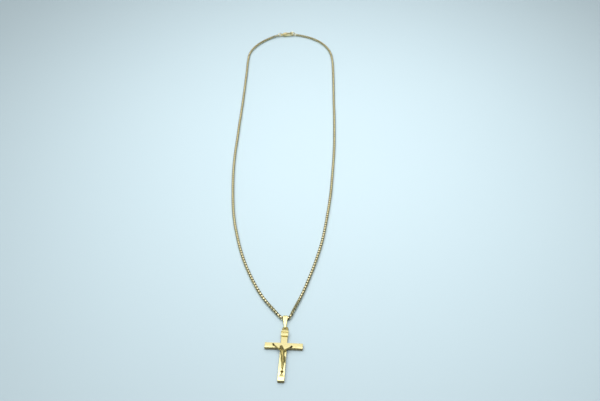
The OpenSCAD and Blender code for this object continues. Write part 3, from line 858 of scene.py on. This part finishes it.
hands = bmesh.new()
for wrist, heading, side in (((-4.3, -0.14, 1.86), 46, -1), ((3.1, -1.1, 1.86), -50, 1)):
    hand_place = (Matrix.Translation(wrist) @ Matrix.Rotation(math.radians(heading), 4, "Z")
                  @ Matrix.Scale(1.35, 4))
    limb(hands, [(0, -0.1, 0.04, 0.15, 0.14), (0, 0.12, 0.02, 0.22, 0.13),
                 (0, 0.42, 0.02, 0.25, 0.11)], hand_place)
    for k, reach in enumerate((0.36, 0.42, 0.4, 0.32)):
        x = side * (0.19 - 0.125 * k)
        limb(hands, [(x, 0.4, 0.04, 0.066), (x * 1.08, 0.4 + reach * 0.55, 0.08, 0.06),
                     (x * 1.04, 0.42 + reach, 0.0, 0.048)], hand_place, 10)
    limb(hands, [(side * 0.2, 0.06, 0.04, 0.075), (side * 0.33, 0.24, 0.06, 0.065),
                 (side * 0.3, 0.44, 0.05, 0.05)], hand_place, 10)
    ball(hands, 0, 0.24, 0.15, 0.09, 0.09, 0.06, hand_place)
for x, y, z, lean in ((0.16, -15.02, 1.82, 1), (0.19, -14.94, 2.12, -1)):
    for k in range(5):
        big = 0.085 - 0.012 * k
        ball(hands, x + lean * (0.19 - 0.095 * k), y + 0.035 * abs(k - 1), z, big, big * 1.4, big)
ball(hands, 0.21, -14.55, 2.42, 0.1, 0.1, 0.06)
hands = mould(hands, 0.024, 2)

cloth = bmesh.new()
wrap = [(0.02, -6.78, 2.12, 0.8, 0.58), (0.08, -7.1, 2.12, 0.93, 0.66),
        (0.15, -7.9, 2.12, 1.0, 0.68), (0.22, -8.8, 2.12, 1.0, 0.66),
        (0.26, -9.35, 2.14, 0.93, 0.64), (0.27, -9.6, 2.14, 0.88, 0.6)]
limb(cloth, wrap, sides=32)
for k in range(7):
    drop = 0.42 * k
    swag = [(0.98, -7.0 - 0.1 * k, 0.07), (0.62, -7.15 - drop * 0.75, 0.1),
            (0.2, -7.22 - drop * 0.93, 0.11), (-0.3, -7.12 - drop * 0.9, 0.1),
            (-0.68, -6.9 - drop * 0.7, 0.07)]
    rows = []
    for x, y, round_of in swag:
        low, high = next(((a, b) for a, b in zip(wrap, wrap[1:]) if b[1] <= y <= a[1]), wrap[-2:])
        share = min(max((low[1] - y) / (low[1] - high[1]), 0), 1)
        middle, wide, deep = (low[n] + (high[n] - low[n]) * share for n in (0, 3, 4))
        off = min(abs(x - middle) / wide, 0.97)
        rows.append((x, max(y, -9.72), 2.1 + deep * math.sqrt(1 - off * off), round_of))
    limb(cloth, rows, sides=10)
limb(cloth, [(-0.74, -6.86, 2.2, 0.09), (-0.4, -6.95, 2.62, 0.1), (0.1, -6.98, 2.74, 0.1),
             (0.6, -6.96, 2.58, 0.1), (0.86, -6.9, 2.3, 0.1)], sides=10)
ball(cloth, 0.96, -7.12, 2.3, 0.2, 0.22, 0.26)
for k in range(3):
    x = 0.98 + 0.12 * k
    limb(cloth, [(x - 0.06, -7.2, 2.3 - 0.1 * k, 0.1, 0.14),
                 (x + 0.04, -7.9, 2.26 - 0.14 * k, 0.11, 0.2),
                 (x + 0.02, -8.7, 2.16 - 0.14 * k, 0.12, 0.22),
                 (x + 0.05, -9.4 - 0.12 * (k % 2), 2.08 - 0.14 * k, 0.1, 0.2)], sides=12)
cloth = mould(cloth, 0.03, 2)

# Painted shade: the hands are darkened all over, and the hair more than the face.
hands_painted_shade = 0.85
hair_painted_shade = 0.55
to_head = head_place.inverted()
for name, form, passes, depth in (
        ("figure_body", body, 12, 0.035), ("figure_head", head, 12, 0.009),
        ("figure_hands", hands, 10, 0.004), ("figure_cloth", cloth, 10, 0.02)):
    paint_shade_in_hollows(form, passes, depth)
    painted_shade = form.verts.layers.float["painted_shade"]
    if form is hands:
        for corner in form.verts:
            corner[painted_shade] = max(corner[painted_shade], hands_painted_shade)
    if form is head:
        for corner in form.verts:
            spot = to_head @ corner.co
            hair = ease((abs(spot.x) + max(spot.y, 0) - 0.5) / 0.2)
            corner[painted_shade] = min(corner[painted_shade] + hair_painted_shade * hair, 1)
    piece = add_piece(name, in_frame(form, cross_place), corpus_gold_shaded, sharp=180)
    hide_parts("crucifix")

# Foot ornament: the small block with a sunk panel that the feet stand on, and below it a ball
# with five ribs that spread like a fan. All are cast in one with the upright, and the ribs are
# polished as bright as the bars.
block = bmesh.new()
bmesh.ops.create_cube(block, size=1, matrix=Matrix.Translation((0.2, -15.05, 1.72))
                      @ Matrix.Diagonal((1.5, 0.9, 0.46, 1)))
front = [face for face in block.faces if face.normal.z > 0.9]
bmesh.ops.scale(block, verts=front[0].verts, vec=(0.9, 0.86, 1),
                space=Matrix.Translation((-0.2, 15.05, 0)))
bmesh.ops.inset_individual(block, faces=front, thickness=0.11, depth=-0.045)
edges = [edge for edge in block.edges if edge.calc_face_angle(0) > 0.3]
round_edges(block, edges, 0.04, 2)
# Painted shade: the block's large faces are darkened strongly and its rounded edges lightly, for
# the shade under the feet; it wears the figure's darker gold.
painted_shade = block.faces.layers.float.new("painted_shade")
for face in block.faces:
    face[painted_shade] = 0.75 if face.calc_area() > 0.2 else 0.3
block = add_piece("foot_block", in_frame(block, cross_place), corpus_gold_shaded, sharp=40)
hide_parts("crucifix")

fan = bmesh.new()
for turn in (-22, -11, 0, 11, 22):
    rib_place = Matrix.Translation((0.14, -15.4, 0)) @ Matrix.Rotation(math.radians(turn), 4, "Z")
    limb(fan, [(0, -0.75, 1.6, 0.1), (0, -1.3, 1.62, 0.14, 0.16), (0, -2.0, 1.62, 0.2, 0.19),
               (0, -2.4, 1.6, 0.22, 0.2), (0, -2.6, 1.57, 0.14, 0.13)], rib_place, 16)
limb(fan, [(0.14, -16.1, 1.62, 0.12, 0.09), (0.14, -16.9, 1.62, 0.42, 0.09),
           (0.14, -17.6, 1.62, 0.76, 0.09)], sides=20)
fan = mould(fan, 0.03, 6)
# Painted shade in the hollows between the ribs.
paint_shade_in_hollows(fan, 10, 0.012)
fan = add_piece("foot_fan", in_frame(fan, cross_place), cross_gold, sharp=180)
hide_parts("crucifix")
knob = bmesh.new()
ball(knob, 0.16, -15.92, 1.62, 0.42, 0.37, 0.38)
ball(knob, 0.14, -16.3, 1.6, 0.28, 0.2, 0.25)
knob = mould(knob, 0.03, 2)
# Painted shade in the knob's hollows; it wears the figure's darker copy of the gold, painted shade.
paint_shade_in_hollows(knob, 10, 0.005)
knob = add_piece("foot_knob", in_frame(knob, cross_place), corpus_gold_shaded, sharp=180)
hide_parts("crucifix")

# Clasp body: a cast and polished lobster claw with an eye at its tail. A slot takes the lever,
# and the claw's point stops just short of the lever's end.
clasp_place = Matrix.Translation((-1.4, 156.6, 1.15)) @ Matrix.Rotation(math.radians(8), 4, "Z")
nose = (2.6, 0)
pivot = (-1.35, -0.7)
claw_thick = 0.9
body_thick = 1.8
slot_thick = 0.98
rivet_radius = 0.25


def rounded(outline):
    """The outline with its corners cut three times over, which makes them round."""
    for _ in range(3):
        outline = [(a[0] + (b[0] - a[0]) * share, a[1] + (b[1] - a[1]) * share)
                   for a, b in zip(outline, outline[1:] + outline[:1]) for share in (0.25, 0.75)]
    return outline


claw = bmesh.new()
plate(claw, rounded(arc(nose, 1.95, -78, 90, 8)
                    + [(0.6, 1.9), (-1.2, 1.66), (-2.45, 1.3), (-3.3, 0.72), (-3.3, -0.72),
                       (-2.55, -1.35), (-1.4, -1.6), (-0.55, -1.48), (-0.3, -0.9), (-0.25, 0),
                       (0, 0.6), (0.7, 0.95)]
                    + arc(nose, 1.05, 90, -78, 8)), claw_thick)
plate(claw, rounded([(0.42, 1.86), (-1.2, 1.55), (-2.4, 1.2), (-3.15, 0.62), (-3.15, -0.62),
                     (-2.45, -1.24), (-1.4, -1.45), (-0.7, -1.35), (-0.45, -0.8), (-0.4, 0),
                     (-0.15, 0.75)]), body_thick)
tail = round_ring(0.9, 0.35, 24, 48)
bmesh.ops.translate(tail, verts=tail.verts, vec=(-3.95, 0, 0))
join(claw, tail)
claw = mould(claw, 0.05, 30)
way = bmesh.new()
plate(way, arc(pivot, 4.42, -48, 2.6, 24) + [(0.4, -0.5), (0.4, -4)], through)
claw = cut_away(claw, way)
way = bmesh.new()
bmesh.ops.create_cube(way, size=1, matrix=Matrix.Translation((-1.25, -1.025, 0))
                      @ Matrix.Diagonal((2.6, 2.35, slot_thick, 1)))
claw = cut_away(claw, way)
claw = cut_away(claw, round_pin(rivet_radius, through, pivot))
# Painted shade: the faces inside the lever's slot are darkened strongly, and the claw's sides
# lightly.
painted_shade = claw.faces.layers.float.new("painted_shade")
for face in claw.faces:
    x, y, z = face.calc_center_median()
    inside = abs(z) < slot_thick / 2 + 0.01 and -2.56 < x < 0.06 and -2.2 < y < 0.16
    face[painted_shade] = 0.9 if inside else 0.35 * (1 - abs(face.normal.z))
clasp_gold = gold("clasp_gold", (0.82, 0.71, 0.38), (0.12, 0.085, 0.04), 0.12, 0.24, 1700, 300)
clasp_body = add_piece("clasp_claw", in_frame(claw, clasp_place), clasp_gold,
                       sharp=40)
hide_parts("clasp_body")

# Clasp lever: stamped from thicker sheet, with a thumb tab behind and a bored boss that turns
# on the rivet. Its end closes the claw.
lever_thick = 0.84
bore_radius = 0.28
lever = bmesh.new()
plate(lever, rounded([(-0.9, -1.62), (0.6, -1.8), (1.8, -1.86)] + arc(pivot, 4.34, -15.1, -14.3, 2)
                     + arc(pivot, 4.34, -4.2, -3.4, 2) + [(1.6, -1), (0.2, -0.85), (-0.6, -0.35)]
                     + arc(pivot, 0.6, 50, 180, 6)
                     + [(-2.1, -1.2), (-2.45, -1.85), (-2.25, -2.16), (-1.7, -1.8)]), lever_thick)
lever = with_modifiers(lever, ("BEVEL", {"width": 0.09, "segments": 3, "limit_method": "ANGLE",
                                         "angle_limit": 1.2}))
lever = cut_away(lever, round_pin(bore_radius, through, pivot))
clasp_lever = add_piece("clasp_spring_lever", in_frame(lever, clasp_place), clasp_gold,
                        body="lever", sharp=35)
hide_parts("clasp_lever")

# Rivet: a plain pin through body and lever, filed flush at both ends.
rivet = round_pin(rivet_radius, body_thick, pivot)
ends = [edge for edge in rivet.edges if any(len(face.verts) > 4 for face in edge.link_faces)]
round_edges(rivet, ends, 0.05, 3)
clasp_rivet = add_piece("clasp_rivet", in_frame(rivet, clasp_place), clasp_gold,
                        sharp=40)
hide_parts("clasp_pin")

# Jump rings: round wire bent to a ring, with a fine cut where its ends meet. One holds the
# clasp to the chain, and two at the other end give the claw something to hold.
for name, middle, heading, tilt, pitch, radius, wire, cut_at in (
        ("tail_ring", (-6.47, 155.58, 1.23), 22, 55, 0, 1.25, 0.2, 115),
        ("hook_ring", (2.5, 156.7, 1.76), -15, 110, 0, 1.6, 0.25, 60),
        ("end_ring", (4.57, 156.62, 0.91), -13, 0, 14, 1.2, 0.2, 250)):
    ring_place = (Matrix.Translation(middle) @ Matrix.Rotation(math.radians(heading), 4, "Z")
                  @ Matrix.Rotation(math.radians(tilt), 4, "X")
                  @ Matrix.Rotation(math.radians(pitch), 4, "Y"))
    ring = round_ring(radius, wire, 20, 96, math.radians(cut_at), math.radians(1))
    ring = add_piece(name + "_wire", in_frame(ring, ring_place), clasp_gold, sharp=60)
    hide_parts(name)
